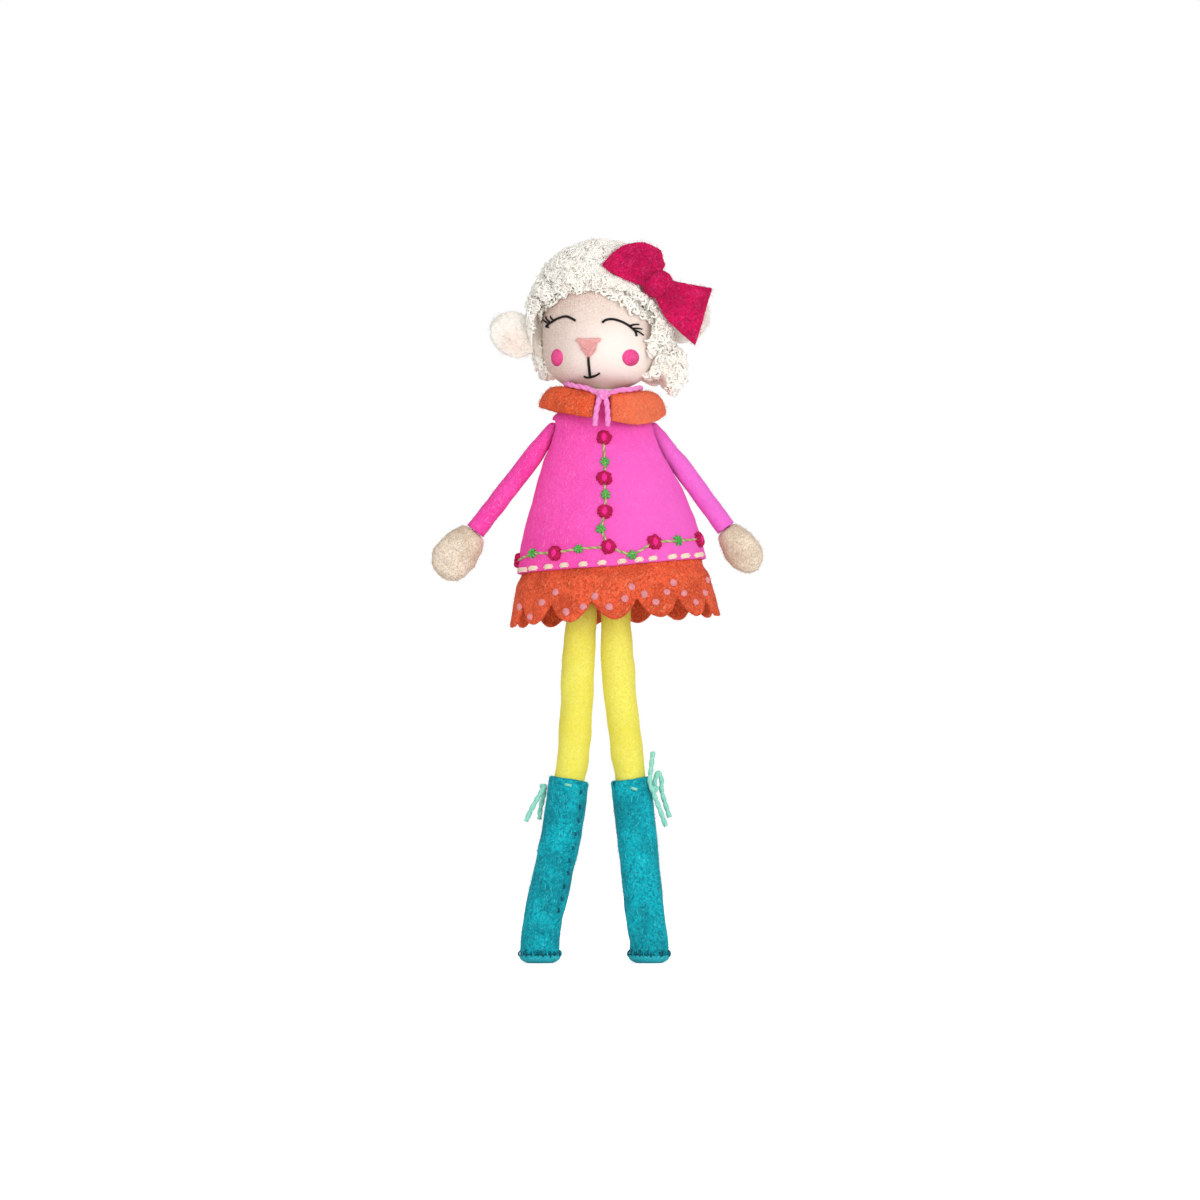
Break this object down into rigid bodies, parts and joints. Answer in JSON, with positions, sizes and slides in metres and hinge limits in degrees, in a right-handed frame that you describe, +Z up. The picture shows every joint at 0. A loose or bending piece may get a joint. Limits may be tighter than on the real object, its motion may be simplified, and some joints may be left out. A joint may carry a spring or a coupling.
{
  "type": "felt lamb doll",
  "caption": "Slim stuffed felt doll of a lamb with a wool wig, bow, flared coat with scalloped hem, collar and tall laced boots; head, ears, arms and legs move.",
  "frame": {"origin": "middle of the bottom of the doll's box, on the plane of the boot soles", "axes": "+Z up along the standing doll, -Y the way the doll's front faces, +X to the doll's left hand"},
  "size_m": [0.1664, 0.0704, 0.3613],
  "materials": {
    "coat": "matte hot pink wool felt",
    "hem": "matte burnt orange wool felt",
    "collar": "matte burnt orange wool felt",
    "legs": "matte yellow wool felt",
    "boots": "matte teal wool felt",
    "soles": "matte lighter teal wool felt",
    "bow": "matte dark magenta wool felt",
    "wig": "cream boucle wool",
    "ear": "matte cream wool felt",
    "face": "matte skin-pink wool felt",
    "hands": "matte beige wool felt",
    "tie": "pink wool yarn",
    "lace": "pale aqua wool yarn",
    "thread": "black cotton thread",
    "nose": "matte salmon felt",
    "cheek": "matte hot pink felt",
    "rose": "dark magenta cotton thread",
    "filling": "white fibre filling"
  },
  "bodies": {
    "torso": {"torso_cover": "coat", "torso_stuffing": "filling", "coat_front": "coat", "coat_back": "coat", "hem_front": "hem", "hem_back": "hem", "collar": "collar", "neck_tie": "tie", "tie_knot": "tie", "rose_1": "rose", "rose_2": "rose", "rose_3": "rose", "rose_4": "rose", "rose_5": "rose", "rose_6": "rose", "rose_7": "rose", "rose_8": "rose"},
    "neck": {"neck": "face"},
    "head": {"head_cover": "face", "head_stuffing": "filling", "wool_wig": "wig", "bow": "bow", "bow_band": "bow", "eye_right": "thread", "eye_left": "thread", "mouth": "thread", "nose": "nose", "cheek_right": "cheek", "cheek_left": "cheek"},
    "ear_right": {"ear_right": "ear"},
    "ear_left": {"ear_left": "ear"},
    "shoulder_thread_right": {"shoulder_thread_right": "coat"},
    "arm_right": {"arm_cover_right": "coat", "arm_stuffing_right": "filling", "hand_cover_right": "hands", "hand_stuffing_right": "filling"},
    "hip_thread_right": {"hip_thread_right": "legs"},
    "leg_right": {"leg_cover_right": "legs", "leg_stuffing_right": "filling", "boot_shaft_right": "boots", "boot_sole_right": "soles", "lace_ends_right": "lace", "lace_knot_right": "lace"},
    "shoulder_thread_left": {"shoulder_thread_left": "coat"},
    "arm_left": {"arm_cover_left": "coat", "arm_stuffing_left": "filling", "hand_cover_left": "hands", "hand_stuffing_left": "filling"},
    "hip_thread_left": {"hip_thread_left": "legs"},
    "leg_left": {"leg_cover_left": "legs", "leg_stuffing_left": "filling", "boot_shaft_left": "boots", "boot_sole_left": "soles", "lace_ends_left": "lace", "lace_knot_left": "lace", "lace_loop_left": "lace"}
  },
  "joints": [
    {"name": "head_turn", "type": "hinge", "parent": "torso", "child": "neck", "pos_m": [0.00136, -0.00213, 0.316], "axis": [0, 0, 1], "range_deg": [-32, 58]},
    {"name": "head_nod", "type": "hinge", "parent": "neck", "child": "head", "pos_m": [0.00136, -0.00213, 0.316], "axis": [0.9751, -0.2215, 0], "range_deg": [-12, 12]},
    {"name": "ear_right_flap", "type": "hinge", "parent": "head", "child": "ear_right", "pos_m": [-0.03314, -0.00213, 0.313], "axis": [0, 0, 1], "range_deg": [-22, 22]},
    {"name": "ear_left_flap", "type": "hinge", "parent": "head", "child": "ear_left", "pos_m": [0.03586, -0.00213, 0.32], "axis": [0, 0, 1], "range_deg": [-22, 22]},
    {"name": "arm_right_swing", "type": "hinge", "parent": "torso", "child": "shoulder_thread_right", "pos_m": [-0.02414, -0.00213, 0.268], "axis": [-1, 0, 0], "range_deg": [-40, 70]},
    {"name": "arm_right_raise", "type": "hinge", "parent": "shoulder_thread_right", "child": "arm_right", "pos_m": [-0.02414, -0.00213, 0.268], "axis": [0, 1, 0], "range_deg": [0, 55]},
    {"name": "leg_right_swing", "type": "hinge", "parent": "torso", "child": "hip_thread_right", "pos_m": [-0.00744, -0.00213, 0.175], "axis": [-1, 0, 0], "range_deg": [-50, 55]},
    {"name": "leg_right_spread", "type": "hinge", "parent": "hip_thread_right", "child": "leg_right", "pos_m": [-0.00744, -0.00213, 0.175], "axis": [0, 1, 0], "range_deg": [0, 25]},
    {"name": "arm_left_swing", "type": "hinge", "parent": "torso", "child": "shoulder_thread_left", "pos_m": [0.02986, -0.00213, 0.268], "axis": [-1, 0, 0], "range_deg": [-40, 70]},
    {"name": "arm_left_raise", "type": "hinge", "parent": "shoulder_thread_left", "child": "arm_left", "pos_m": [0.02986, -0.00213, 0.268], "axis": [0, -1, 0], "range_deg": [0, 55]},
    {"name": "leg_left_swing", "type": "hinge", "parent": "torso", "child": "hip_thread_left", "pos_m": [0.00916, -0.00213, 0.175], "axis": [-1, 0, 0], "range_deg": [-50, 55]},
    {"name": "leg_left_spread", "type": "hinge", "parent": "hip_thread_left", "child": "leg_left", "pos_m": [0.00916, -0.00213, 0.175], "axis": [0, -1, 0], "range_deg": [0, 25]}
  ]
}
